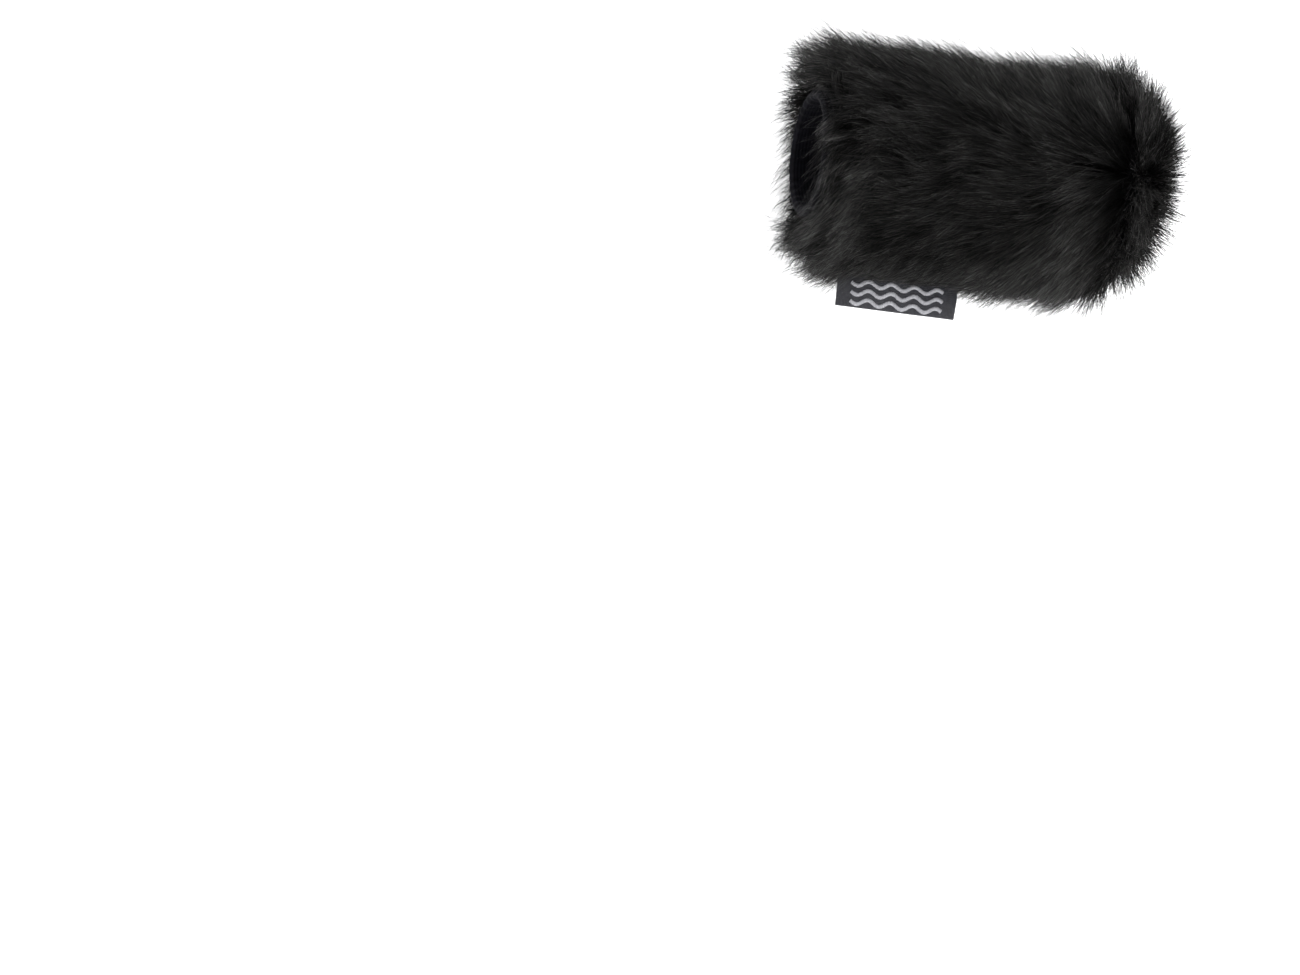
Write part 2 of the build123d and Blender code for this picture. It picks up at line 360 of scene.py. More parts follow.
# A smooth random value between about -1 and 1, that changes over a distance of size
def ripple(points, size, seed, waves=7):
    rng = np.random.default_rng(seed)
    total = np.zeros(len(points))
    for _ in range(waves):
        k = rng.normal(size=3)
        k *= 2 * math.pi / (size * np.linalg.norm(k)) * rng.uniform(0.6, 1.5)
        total += np.sin(points @ k + rng.uniform(0, 2 * math.pi))
    return total / math.sqrt(waves / 2) / 1.6


brush = {
    "fan": (2.5, 1.3, 0.2),  # how the pile turns round the tube: strength, power, the least of it
    "fanFrom": 36 * mm,
    "mouthTurn": 0.9,
    "mouthPlace": (5 * mm, 8 * mm),  # where it turns away from the mouth's top, and over what length
    "rimOut": 0.6,  # how far the hairs beside the cuff lean outwards
    "nose": (0.3, 0.15),  # round the nose, and ahead
    "wander": ((0.4, 13 * mm, 3), (0.3, 5 * mm, 4)),  # strength, size and seed
}


# the way that the pile is brushed: to the mouth on the tube, and outwards on the nose
def lean(root, normal, angle):
    zero = np.zeros(len(root))
    outward = np.stack([zero, -np.sin(angle), np.cos(angle)], 1)
    around = np.stack([zero, -np.cos(angle), -np.sin(angle)], 1)
    near = 1 - np.clip((skin["seam"] - root[:, 0]) / brush["fanFrom"], 0, 1)
    most, power, least = brush["fan"]
    fan = (most * near ** power + least) * np.sin(angle)
    place, length = brush["mouthPlace"]
    atMouth = np.exp(-((root[:, 0] - place) / length) ** 2)
    way = around * (fan + brush["mouthTurn"] * atMouth * np.cos(angle))[:, None]
    way[:, 0] -= 1
    atRim = (root[:, 0] < skin["turn"] + 0.5 * mm) * (1 - 0.5 * np.clip(np.cos(angle), 0, 1))
    way += outward * (brush["rimOut"] * atRim)[:, None]
    noseWay = outward + around * (brush["nose"][0] * np.sin(angle))[:, None]
    noseWay[:, 0] += brush["nose"][1]
    way = np.where((root[:, 0] > skin["seam"])[:, None], noseWay, way)
    way += around * sum(share * ripple(root, size, seed) for share, size, seed in brush["wander"])[:, None]
    way -= normal * np.sum(way * normal, 1)[:, None]
    return way / np.linalg.norm(way, axis=1)[:, None]


# hairs as points at rings, bending over from first to last, angles from the normal
def grow(root, normal, way, length, first, last, rings):
    steps = 12
    at = root.copy()
    line = [at.copy()]
    for k in range(steps):
        a = first + (last - first) * ((k + 0.5) / steps) ** 0.8
        at = at + (normal * np.cos(a)[:, None] + way * np.sin(a)[:, None]) * (length / steps)[:, None]
        line.append(at.copy())
    line = np.stack(line, 1)
    place = np.array(rings) * steps
    low = np.floor(place).astype(int).clip(0, steps - 1)
    part = (place - low)[None, :, None]
    return line[:, low] * (1 - part) + line[:, low + 1] * part


# where a point lies between the axis, 0, and the brushed outer shape, 1
def fullness(points):
    x, r = points[..., 0], np.hypot(points[..., 1], points[..., 2]) + 1e-9
    side = points[..., 1] / r
    keys = "radius", "noseLength", "frontCorner", "nosePower"
    radius, noseLength, corner, power = (envelope[key][0] + envelope[key][1] * side for key in keys)
    height, start, length = envelope["shoulder"]
    radius = radius + height * np.clip(side, 0, 1) * np.clip((x - start) / length, 0, 1)
    ahead = np.clip((x - envelope["nose"]) / noseLength + 1, 0, None)
    above, below, away, nearer = envelope["frontLean"]
    under = np.clip(-points[..., 2] - 8 * mm, 0, None)
    across = np.where(side > 0, away, nearer) * points[..., 1]
    fall, rim, most = envelope["funnel"]
    funnel = fall * np.clip(rim - r, 0, most) * np.clip(points[..., 2] / (8 * mm), 0, 1)
    slope = np.where(points[..., 2] > 0, above, below) * points[..., 2]
    reach = envelope["front"] + funnel - x - slope - across + 4 * under ** 2
    behind = np.clip(reach / corner + 1, 0, None)
    full = ((r / radius) ** power + ahead ** power) ** (1 / power)
    inner = np.clip((r - radius) / corner + 1, 0, None)
    share = corner / radius
    front = 1 - share + share * np.sqrt(inner ** 2 + behind ** 2)
    return np.where(behind > 0, np.maximum(full, front), full)


# shortens the hairs that reach past their limit of fullness
def trim(lines, limit):
    root = lines[:, :1]
    low, high = np.zeros(len(lines)), np.ones(len(lines))
    for _ in range(12):
        middle = (low + high) / 2
        tip = root[:, 0] + (lines[:, -1] - root[:, 0]) * middle[:, None]
        over = fullness(tip) > limit
        high = np.where(over, middle, high)
        low = np.where(over, low, middle)
    fits = fullness(lines[:, -1]) <= limit
    scale = np.where(fits, 1, low)
    return root + (lines - root) * scale[:, None, None]


room = {  # what the hairs stay clear of
    "floor": 0.1 * mm,
    "pressed": 0.04,  # what is left of a hair's depth past the floor
    "brow": 3.0 * mm,  # how far the fur is pressed in above the label
    "besideLabel": (0.75 * mm, 22),  # at the hinge, and the angle it opens at
    "missesLabel": (0.6 * mm, 21),
    "pastLabel": 11.5 * mm,
    "mouth": -1.6 * mm,  # past here, hairs over the mouth sink by overMouth
    "overMouth": 0.3,
    "cuff": 12.9 * mm,
}


# keeps the hairs on the floor and clear of the cuff and the label, over its whole swing
def keepClear(lines):
    x, y, z = lines[..., 0], lines[..., 1], lines[..., 2]
    floor = envelope["floor"] + room["floor"]
    z = np.where(z < floor, floor + (floor - z) * room["pressed"], z)
    beside = np.clip(np.minimum(x - labelLow.x, labelEnd - x) / (0.5 * mm) + 1.2, 0, 1)
    brow = room["brow"] * beside * np.clip(z / (2 * mm) + 0.5, 0, 1) * np.clip(2 - z / (7 * mm), 0, 1)
    edge = -envelope["radius"][0] + envelope["radius"][1] + brow
    y = np.where(y < edge, edge + (y - edge) * (1 - 0.75 * np.clip(brow / mm, 0, 1)), y)
    reach = hinge[1] - y
    gap, opening = room["besideLabel"]
    width = gap + np.clip(reach, 0, None) * math.tan(math.radians(opening))
    inside = (reach > -1.5 * mm) & (np.abs(z) < width) & (beside > 0)
    pushed = np.where(z < 0, -1, 1) * (width + 0.25 * np.abs(z))
    z = np.where(inside, z + (pushed - z) * beside, z)
    overMouth = np.clip(room["mouth"] - x, 0, 4 * mm) * np.clip(z / (6 * mm), 0, 1)
    z = z - room["overMouth"] * overMouth * (np.hypot(y, z) < 17 * mm)
    r = np.hypot(y, z)
    overCuff = (x > -1.8 * mm) & (x < 12 * mm) & (r < room["cuff"])
    out = np.where(overCuff, room["cuff"] / (r + 1e-9), 1)
    return np.stack([x, y * out, z * out], -1)


# which hairs stay out of the space that the label swings through, along their whole length
def missesLabel(lines):
    clear = np.ones(len(lines), bool)
    gap, opening = room["missesLabel"]
    for i in range(lines.shape[1] - 1):
        for share in np.linspace(0, 1, 9):
            x, y, z = (lines[:, i] * (1 - share) + lines[:, i + 1] * share).T
            reach = hinge[1] - y
            width = gap + np.clip(reach, 0, None) * math.tan(math.radians(opening))
            beside = (x > labelLow.x - 0.2 * mm) & (x < labelEnd + 0.2 * mm)
            clear &= ~(beside & (reach > -0.5 * mm) & (reach < room["pastLabel"]) & (np.abs(z) < width))
    return clear


# one mesh of closed three-sided hairs, each ending in a point
def hairPiece(name, lines, tone, kind, width, material):
    count, rings = lines.shape[0], lines.shape[1]
    ahead = np.empty_like(lines)
    ahead[:, :-1] = lines[:, 1:] - lines[:, :-1]
    ahead[:, -1] = ahead[:, -2]
    ahead /= np.linalg.norm(ahead, axis=2)[..., None] + 1e-12
    side = np.cross(ahead, np.array([0.31, 0.77, -0.56]))
    side /= np.linalg.norm(side, axis=2)[..., None] + 1e-12
    other = np.cross(ahead, side)
    per = 3 * (rings - 1) + 1
    points = np.empty((count, per, 3))
    for i in range(rings - 1):
        half = width / 2 * kind["widths"][i]
        for j in range(3):
            a = 2 * math.pi * j / 3
            out = math.cos(a) * side[:, i] + math.sin(a) * other[:, i]
            points[:, 3 * i + j] = lines[:, i] + half * out
    points[:, -1] = lines[:, -1]
    quads, quadUv, tris, triUv = [], [], [], []
    v = kind["rings"]
    edge = (-1, 0, 1)
    for i in range(rings - 2):
        for j in range(3):
            k = (j + 1) % 3
            quads.append((3 * i + j, 3 * i + k, 3 * i + 3 + k, 3 * i + 3 + j))
            left, right = edge[j], edge[j] + 1
            quadUv.append(((left, v[i]), (right, v[i]), (right, v[i + 1]), (left, v[i + 1])))
    last = 3 * (rings - 2)
    for j in range(3):
        tris.append((last + j, last + (j + 1) % 3, per - 1))
        triUv.append(((edge[j], v[-2]), (edge[j] + 1, v[-2]), (edge[j] + 0.5, v[-1])))
    tris.append((2, 1, 0))
    triUv.append(((-1, 0), (0, 0), (1, 0.01)))
    quads, tris = np.array(quads), np.array(tris)
    base = (np.arange(count) * per)[:, None, None]
    loops = np.concatenate([(base + quads).reshape(count, -1), (base + tris).reshape(count, -1)], 1).ravel()
    sizes = np.tile([4] * len(quads) + [3] * len(tris), count)
    starts = np.concatenate([[0], np.cumsum(sizes)[:-1]])
    mesh = bpy.data.meshes.new(name)
    mesh.vertices.add(count * per)
    mesh.vertices.foreach_set("co", points.astype(np.float32).ravel())
    mesh.loops.add(len(loops))
    mesh.loops.foreach_set("vertex_index", loops.astype(np.int32))
    mesh.polygons.add(len(sizes))
    mesh.polygons.foreach_set("loop_start", starts.astype(np.int32))
    mesh.polygons.foreach_set("use_smooth", np.ones(len(sizes), bool))
    uv = np.concatenate([np.array(quadUv).reshape(-1, 2), np.array(triUv).reshape(-1, 2)])
    flat = np.empty((count, len(uv), 2))
    flat[:, :, 0] = 0.01 + 0.98 * tone[:, None] + 0.002 * uv[None, :, 0]
    flat[:, :, 1] = 0.01 + 0.98 * uv[None, :, 1]
    layer = mesh.uv_layers.new(name="OFBake")
    layer.uv.foreach_set("vector", flat.astype(np.float32).ravel())
    mesh.update(calc_edges=True)
    mesh.validate()
    return link(name, mesh, material)


furTonesWithPaintedLightAndShade = {
    "along": ((0.3, 0.0005), (0.62, 0.0042), (0.85, 0.02), (1.0, 0.105)),  # from root to tip: the near-black roots are painted shade deep in the pile, and the lighter tips are partly the fibre's paler ends and partly painted light through the sparse hair
    "hairs": ((0.0, (0.03, 0.03, 0.035)), (0.5, (0.9, 0.9, 0.9)), (1.0, (5.8, 5.75, 5.65))),
}


def furMaterial():
    material, nodes, links, shader = newMaterial("charcoalPile")
    uv = addNode(nodes, "ShaderNodeUVMap", uv_map="OFBake")
    split = addNode(nodes, "ShaderNodeSeparateXYZ")
    links.new(uv.outputs[0], split.inputs[0])
    # the root-to-tip ramp: painted shade at the roots, and in part painted light at the tips
    along = ramp(nodes, links, split.outputs["Y"], [(at, (t, t, t * 0.99)) for at, t in furTonesWithPaintedLightAndShade["along"]])
    tone = ramp(nodes, links, split.outputs["X"], furTonesWithPaintedLightAndShade["hairs"])
    mix = addNode(nodes, "ShaderNodeMix", data_type="RGBA", blend_type="MULTIPLY")
    mix.inputs["Factor"].default_value = 1.0
    links.new(along, mix.inputs["A"])
    links.new(tone, mix.inputs["B"])
    links.new(mix.outputs["Result"], shader.inputs["Base Color"])
    finish(shader, 0.55, 0.05)
    return material


# hairs before they are gathered into locks: roots, lines and angles round the axis
def freeHairs(rng, count, low, high, length, first, last, rings):
    root, normal, angle = scatter(rng, count, low, high)
    way = lean(root, normal, angle) + 0.2 * rng.normal(size=root.shape)
    way -= normal * np.sum(way * normal, 1)[:, None]
    way /= np.linalg.norm(way, axis=1)[:, None]
    length = length * (1 + locks["lengthSpread"] * rng.normal(size=count)).clip(0.45, 1.45)
    straight = (root[:, 0] > skin["nose"] - knit) * (1 - np.hypot(root[:, 1], root[:, 2]) / skin["radius"])
    first = np.radians(rng.uniform(*first, count)) * (1 - 0.7 * straight)
    last = np.radians(rng.uniform(*last, count)) * (1 - 0.7 * straight)
    return root, grow(root, normal, way, length, first, last, rings), angle


# pulls the hairs towards the nearest guide, more so towards their tips
def gather(root, lines, guideRoot, guides, pull, rings):
    tree = kdtree.KDTree(len(guideRoot))
    for i, at in enumerate(guideRoot):
        tree.insert(at, i)
    tree.balance()
    mine = np.array([tree.find(at)[1] for at in root])
    share = (pull[:, None] * np.array(rings) ** 1.2)[..., None]
    shape = guides[mine] - guideRoot[mine][:, None]
    if len(rings) < shape.shape[1]:  # the guides have the coat's rings
        at = np.interp(rings, coat["rings"], range(len(coat["rings"])))
        low = at.astype(int).clip(0, shape.shape[1] - 2)
        part = (at - low)[None, :, None]
        shape = shape[:, low] * (1 - part) + shape[:, low + 1] * part
    gathered = root[:, None] * 0.25 + guideRoot[mine][:, None] * 0.75 + shape
    return lines * (1 - share) + gathered * share, mine


def makeFur():
    rng = np.random.default_rng(locks["seed"])
    material = furMaterial()
    rings, length = coat["rings"], coat["length"][0]
    ends = skin["turn"], skin["nose"]
    coarse, coarseLines, _ = freeHairs(rng, locks["counts"][0], *ends, length, (18, 40), (60, 90), rings)
    fine, fineLines, _ = freeHairs(rng, locks["counts"][1], *ends, length, (15, 48), (55, 92), rings)
    pull = locks["pull"] * rng.uniform(0.5, 1.3, len(fine))
    fineLines, owner = gather(fine, fineLines, coarse, coarseLines, pull, rings)
    reach = 0.6 * rng.normal(size=len(coarse))[owner] + 0.8 * rng.normal(size=len(fine))
    middle, wide, narrow = locks["tone"]
    lockTone = middle + wide * rng.normal(size=len(coarse))[owner] + narrow * rng.normal(size=len(fine))
    pieces = []
    for kind in (coat, wisps):
        for part, name, low, high in (
            (0, "tube", skin["turn"], skin["seam"]),
            (1, "nose", skin["seam"], skin["nose"]),
        ):
            count, sectors = kind["hairs"][part], kind["sectors"][part]
            shape = [kind[key][part] for key in ("length", "first", "last")]
            root, lines, angle = freeHairs(rng, count, low, high, *shape, kind["rings"])
            free = rng.random(count) < kind["strays"]
            pull = kind["pull"][part] * rng.uniform(0.6, 1.2, count).clip(0, 1)
            pull = np.where(free, 0.3 * pull, pull)
            lines, owner = gather(root, lines, fine, fineLines, pull, kind["rings"])
            base, spread, far = kind["limit"][part]
            limit = base + locks["reach"] * reach[owner] + spread * rng.normal(size=count)
            limit += np.where(free, far * rng.exponential(size=count).clip(0, 2.6), 0)
            lines = keepClear(trim(lines, limit))
            # the last share shifts a kind's tone; for the wisps it is painted light that lightens the edges
            share, even, more = kind["tone"]
            tone = (share * lockTone[owner] + even * rng.random(count) + more + 0.08 * part).clip(0, 1)
            sector = (angle / (2 * math.pi) * sectors).astype(int) % sectors
            clear, width = missesLabel(lines), kind["width"][part]
            for k in range(sectors):
                pick = (sector == k) & clear
                called = f"{name}{kind['kind']}.{k}"
                pieces.append(hairPiece(called, lines[pick], tone[pick], kind, width, material))
    return pieces


backing = {
    "steps": 144,
    "allowance": 0.62 * mm,  # each of the side seam's two
    "roundEdge": 0.35 * mm,
    "cloth": {
        "dark": (0.0015, 0.0015, 0.0016), "light": (0.005, 0.005, 0.0055), "grain": 900,
        "gloss": (0.85, 0.06), "ribs": (("Y", 1.15), ("X", 1.495)), "bump": (0.7, 0.12 * mm),
        "radius": skin["radius"],
    },
    "slotFrom": labelLow.x - 0.3 * mm,
    "slotTo": labelEnd + 0.3 * mm,
    "slotHalf": 0.8 * mm,
}


def block(centre, size, material):
    bpy.ops.mesh.primitive_cube_add(size=1, location=centre)
    piece = bpy.context.active_object
    piece.scale = size
    bpy.ops.object.transform_apply(location=True, rotation=False, scale=True)
    piece.data.materials.append(material)
    return piece


# one allowance of the side seam: a strip that stands out of the tube, its edges rounded
def seamStrip(low, high, side, material):
    foot, top = skin["radius"] - 0.3 * mm, tubeHigh.z - 0.05 * mm
    centre = ((low + high) / 2, -(foot + top) / 2, side * (backing["slotHalf"] + backing["allowance"] / 2))
    strip = block(centre, (high - low, top - foot, backing["allowance"]), material)
    bpy.ops.object.mode_set(mode="EDIT")
    bpy.ops.mesh.select_all(action="SELECT")
    bpy.ops.mesh.bevel(offset=backing["allowance"] * 0.35, segments=3)
    bpy.ops.object.mode_set(mode="OBJECT")
    bpy.ops.object.shade_smooth()
    return strip


def makeTubeBacking(material):
    radius, turn, seam = skin["radius"], skin["turn"], skin["seam"]
    inside, corner = foamHigh.z, skin["mouthCorner"]
    edge = backing["roundEdge"]
    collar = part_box("cuff_tape")[1].z
    lip = tubeLow.x
    fin = tubeHigh.z - edge
    outline = [(lip + edge, collar), (foamLow.x, collar), (foamLow.x, inside - corner + knit)]
    outline += arc(foamLow.x + corner - knit, inside - corner + knit, corner - knit, 180, 90, 6)
    outline += [(seam - 8 * mm * k, inside) for k in (6, 5, 4, 3, 2, 1)] + [(seam, inside)]
    outline += [(seam, fin)] + arc(seam - edge, fin, edge, 0, 180, 6)
    outline += [(seam - 2 * edge, radius + edge)] + arc(seam - 3 * edge, radius + edge, edge, 0, -90, 4)
    outline += [(seam - 8 * mm * k, radius) for k in (1, 2, 3, 4, 5, 6)]
    outline += arc(turn + corner, radius - corner, corner, 90, 180, 8)
    outline += [(turn, collar + 2 * knit)] + arc(turn - knit, collar + 2 * knit, knit, 0, -90, 5)[1:]
    outline += arc(lip + knit / 2, collar + knit / 2, knit / 2, 90, 180, 5)
    shell = turned("tubeShell", outline, backing["steps"], material)
    start, reach = turn + corner + 0.3 * mm, seam - 3 * edge
    strips = []
    for side in (-1, 1):
        strips.append(seamStrip(start, reach, side, material))
    # outside the label's stretch the two allowances lie against each other
    for low, high in ((start, backing["slotFrom"]), (backing["slotTo"], reach)):
        centre = ((low + high) / 2, -(radius - 0.3 * mm + tubeHigh.z - 0.3 * mm) / 2, 0)
        size = (high - low, tubeHigh.z - radius, 2 * backing["slotHalf"] + 0.1 * mm)
        strips.append(block(centre, size, material))
    return joined("tubeBacking", [shell, *strips])


def makeNoseBacking(material):
    radius, seam, corner, edge = skin["radius"], skin["seam"], skin["noseCorner"], backing["roundEdge"]
    inside, fin = radius - knit, tubeHigh.z - edge
    outline = [(skin["nose"] - knit, 0)]
    outline += [(skin["nose"] - knit, r * mm) for r in (3, 6, 9)]
    outline += arc(skin["nose"] - corner, radius - corner, corner - knit, 0, 90, 10) + [(seam, inside)]
    outline += [(seam, fin)] + arc(seam + edge, fin, edge, 180, 0, 6)
    outline += [(seam + 2 * edge, radius + edge * 0.4), (seam + 2.3 * edge, radius)]
    outline += arc(skin["nose"] - corner, radius - corner, corner, 90, 0, 12)
    outline += [(skin["nose"], r * mm) for r in (8, 5, 2.5)] + [(skin["nose"], 0)]
    return turned("noseBacking", outline, backing["steps"], material, closed=False)


foam = {"steps": 96, "poreSize": 0.45 * mm, "poreShade": (0.008, 0.02)}


def foamMaterial():
    material, nodes, links, shader = newMaterial("openCellFoam")
    place = addNode(nodes, "ShaderNodeTexCoord").outputs["Object"]
    cells = addNode(nodes, "ShaderNodeTexVoronoi", feature="DISTANCE_TO_EDGE")
    cells.inputs["Scale"].default_value = 1 / foam["poreSize"]
    links.new(place, cells.inputs["Vector"])
    # the pore hollows are painted darker than the cell walls: painted shade in the foam's holes
    low, high = foam["poreShade"]
    stops = ((0, (high, high, high * 1.05)), (0.3, (low, low, low)))
    tone = ramp(nodes, links, cells.outputs["Distance"], stops)
    links.new(tone, shader.inputs["Base Color"])
    turnOver = addNode(nodes, "ShaderNodeMath", operation="SUBTRACT")
    turnOver.inputs[0].default_value = 1.0
    links.new(cells.outputs["Distance"], turnOver.inputs[1])
    bumpFrom(nodes, links, turnOver.outputs[0], shader, 0.8, 0.15 * mm)
    finish(shader, 0.95, 0.15)
    return material


def makeFoam(material):
    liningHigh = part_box("lining_sock")[1]
    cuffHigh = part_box("cuff_tape")[1]
    start, end, outer, bore = foamLow.x, foamHigh.x, foamHigh.z, liningHigh.z
    corner, soft = skin["mouthCorner"] - knit, 0.15 * mm
    outline = [(cuffHigh.x, bore + 0.02 * mm), (cuffHigh.x, cuffHigh.z), (start, cuffHigh.z)]
    outline += arc(start + corner, outer - corner, corner, 180, 90, 8)
    outline += [(start + 8 * mm * k, outer) for k in (1, 2, 3, 4, 5)]
    outline += [(end - soft, outer), (end, outer - soft), (end, bore + soft)]
    outline += [(end - 8 * mm * k, bore + 0.02 * mm) for k in (1, 2, 3, 4, 5)]
    sleeve = turned("foamSleeve", outline, foam["steps"], material)
    corner = skin["noseCorner"] - knit
    outline = [(plugLow.x, 0)] + [(plugLow.x, r * mm) for r in (4, 8, 12)]
    outline += [(plugLow.x, outer - soft), (plugLow.x + soft, outer)]
    outline += arc(plugHigh.x - corner, outer - corner, corner, 90, 0, 12)
    outline += [(plugHigh.x, r * mm) for r in (8, 5, 2.5)] + [(plugHigh.x, 0)]
    plug = turned("foamNosePlug", outline, foam["steps"], material, closed=False)
    return sleeve, plug


lining = {
    "steps": 180,
    "folds": 11,
    "foldDepth": 0.09 * mm,
    "cloth": {
        "dark": (0.0012, 0.0012, 0.002), "light": (0.003, 0.003, 0.0045), "grain": 500,
        "gloss": (0.6, 0.3), "ribs": (("Y", 2.2),), "bump": (0.5, 0.06 * mm), "radius": 10.6 * mm,
    },
}


def makeLining(material):
    low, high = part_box("lining_sock")
    outer = high.z - 0.03 * mm
    wall = 0.25 * mm
    front, end, turn = low.x + 0.05 * mm, high.x - 0.05 * mm, 1.2 * mm
    outline = [(end, 0), (end, 4 * mm), (end, outer - turn)]
    outline += arc(end - turn, outer - turn, turn, 0, 90, 6)[1:]
    outline += [(front + 4 * mm * k, outer) for k in range(11, 0, -1)]
    outline += [(front + 0.1 * mm, outer), (front, outer - wall / 2), (front + 0.1 * mm, outer - wall)]
    outline += [(front + 4 * mm * k, outer - wall) for k in range(1, 12)]
    outline += arc(end - turn, outer - turn, turn - wall, 90, 0, 6) + [(end - wall, 4 * mm), (end - wall, 0)]
    sock = turned("liningSock", outline, lining["steps"], material, closed=False)

    def crease(x, y, z):
        r, a = np.hypot(y, z) + 1e-9, np.arctan2(y, z)
        along = np.clip((x - front) / (6 * mm), 0, 1) * np.clip((end - x) / (3 * mm), 0, 1)
        wave = np.sin(lining["folds"] * a + 1.5 * np.sin(x / (9 * mm))) + 0.5 * np.sin(5 * a - x / (7 * mm))
        inwards = 1 - along * lining["foldDepth"] * (1.5 + wave) / r
        return x, y * inwards, z * inwards

    reshape(sock, crease)
    return sock


cuff = {
    "steps": 360,
    "leg": 0.6 * mm,
    "gathers": 34,
    "gatherDepth": 0.1 * mm,
    "tape": {
        "dark": (0.0016, 0.0016, 0.0028), "light": (0.0045, 0.0045, 0.007), "grain": 700,
        "gloss": (0.75, 0.06), "ribs": (("X", 1.6), ("Y", 3.84)), "mix": 0.35, "bump": (0.6, 0.07 * mm),
        "radius": 11 * mm,
    },
    "elastic": {
        "dark": (0.012, 0.012, 0.012), "light": (0.03, 0.03, 0.03), "grain": 900, "gloss": (0.7,),
        "ribs": (("X", 1.1), ("Y", 1.9)), "bump": (0.8, 0.1 * mm), "radius": 11 * mm,
    },
}


def makeCuffTape(material):
    low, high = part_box("cuff_tape")
    outer, wall = high.z, -low.x * 2
    inner, leg, end = outer - wall, cuff["leg"], high.x
    middle, slack = (inner + outer) / 2, 0.02 * mm
    outline = [(end, outer - slack)] + [(mm * k, outer - slack) for k in (5, 3.5, 2, 1)]
    outline += arc(0, middle, wall / 2 - slack, 90, 270, 14)
    outline += [(mm * k, inner + slack) for k in (1, 2, 3.5, 5)] + [(end, inner + slack)]
    outline += [(end, inner + leg)] + [(mm * k, inner + leg) for k in (5, 3.5, 2)]
    outline += arc(leg / 2, middle, wall / 2 - leg, 270, 90, 8)
    outline += [(mm * k, outer - leg) for k in (2, 3.5, 5)] + [(end, outer - leg)]
    tape = turned("cuffTape", outline, cuff["steps"], material)

    def pucker(x, y, z):
        r, a = np.hypot(y, z) + 1e-9, np.arctan2(y, z)
        wave = np.sin(cuff["gathers"] * a + 0.8 * np.sin(5 * a)) * (0.75 + 0.25 * np.sin(3 * a + 1))
        front = np.exp(-((x + 0.4 * mm) / (1.5 * mm)) ** 2)
        depth = cuff["gatherDepth"] * (wave - 1) * front
        out = 1 + np.sign(r - middle) * depth / r
        return x + 0.5 * cuff["gatherDepth"] * (1 - wave) * front, y * out, z * out

    reshape(tape, pucker)
    return tape


def makeElastic(material):
    low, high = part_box("cuff_elastic")
    outer = high.z
    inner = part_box("cuff_tape")[1].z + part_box("cuff_tape")[0].x * 2 + 0.65 * mm
    edge = (outer - inner) / 2
    ribs = 5
    width = high.x - low.x
    rows = [(low.x + width * (k + 0.5) / ribs, 0.06 * mm * (k % 2)) for k in range(1, ribs - 1)]
    outline = arc(low.x + edge, (inner + outer) / 2, edge, 90, 270, 8)
    outline += [(x, inner + depth) for x, depth in rows]
    outline += arc(high.x - edge, (inner + outer) / 2, edge, 270, 450, 8)
    outline += [(x, outer - depth) for x, depth in reversed(rows)]
    return turned("cuffElastic", outline, 144, material)


label = {
    "leaf": 0.2 * mm,
    "gap": 0.05 * mm,
    "along": 72,
    "out": 30,
    "foldSteps": 8,
    "droop": 0.75 * mm,
    "slant": 0.3 * mm,  # how much further the fold stands out at the nose end
    "bow": 0.16 * mm,
    "cloth": {
        "dark": (0.007, 0.0075, 0.013), "light": (0.018, 0.019, 0.027), "grain": 1400, "detail": 6,
        "gloss": (0.42, 0.45), "ribs": (("X", 3.6), ("Y", 2.6)), "mix": 0.5, "bump": (0.5, 0.05 * mm),
        "sheen": 0.1,
    },
}


# the label's slant and gentle bow, that grow from the stitch line to the fold
def hang(x, y, z):
    out = np.clip((hinge[1] - y) / (hinge[1] - labelLow.y), 0, None)
    along = (x - labelLow.x) / (labelHigh.x - labelLow.x)
    y = y - (label["droop"] + label["slant"] * along) * out
    x = x + (0.6 + 1.2 * along) * mm * np.clip(0.4 + out, 0, 1) * (1 - 0.4 * out * along)
    z = z + label["bow"] * out * np.sin(along * 2.6 * math.pi + 0.6) + 0.3 * label["bow"] * out
    return x, y, z


# A ribbon doubled over: its section runs out along one leaf, round the fold and back
def makeLabel(material):
    leaf, half = label["leaf"], label["gap"] / 2
    root, fold = labelHigh.y, labelLow.y
    bend = half + leaf
    line = [(root - (root - fold - bend) * k / label["out"], 1) for k in range(label["out"] + 1)]
    outside = [(y, bend) for y, _ in line]
    outside += [(fold + bend - bend * math.sin(a), bend * math.cos(a))
                for a in np.linspace(0, math.pi, label["foldSteps"] + 1)[1:-1]]
    outside += [(y, -bend) for y, _ in reversed(line)]
    inside = [(y, -half) for y, _ in line]
    inside += [(fold + bend - half * math.sin(a), -half * math.cos(a))
               for a in np.linspace(0, math.pi, 4)[1:-1]]
    inside += [(y, half) for y, _ in reversed(line)]
    section = outside + inside
    count, steps = len(section), label["along"]
    points = []
    for i in range(steps + 1):
        x = labelLow.x + (labelHigh.x - labelLow.x) * i / steps
        points += [(x, y, z) for y, z in section]
    faces = []
    for i in range(steps):
        for j in range(count):
            k = (j + 1) % count
            faces.append((i * count + j, i * count + k, (i + 1) * count + k, (i + 1) * count + j))
    # each end: the outer line bridges to the inner one
    outer, inner = list(range(len(outside))), list(range(len(outside), count))[::-1]
    for end in (0, steps):
        a, b = [end * count + i for i in outer], [end * count + i for i in inner]
        i = j = 0
        while i < len(a) - 1 or j < len(b) - 1:
            if j == len(b) - 1 or (i < len(a) - 1 and i / (len(a) - 1) <= j / (len(b) - 1)):
                faces.append((a[i], a[i + 1], b[j]))
                i += 1
            else:
                faces.append((a[i], b[j + 1], b[j]))
                j += 1
    piece = build("labelRibbon", points, [], faces, material)
    startEditing(piece)
    endEditing()
    bpy.ops.object.shade_smooth_by_angle(angle=math.radians(40))
    reshape(piece, hang)
    return piece


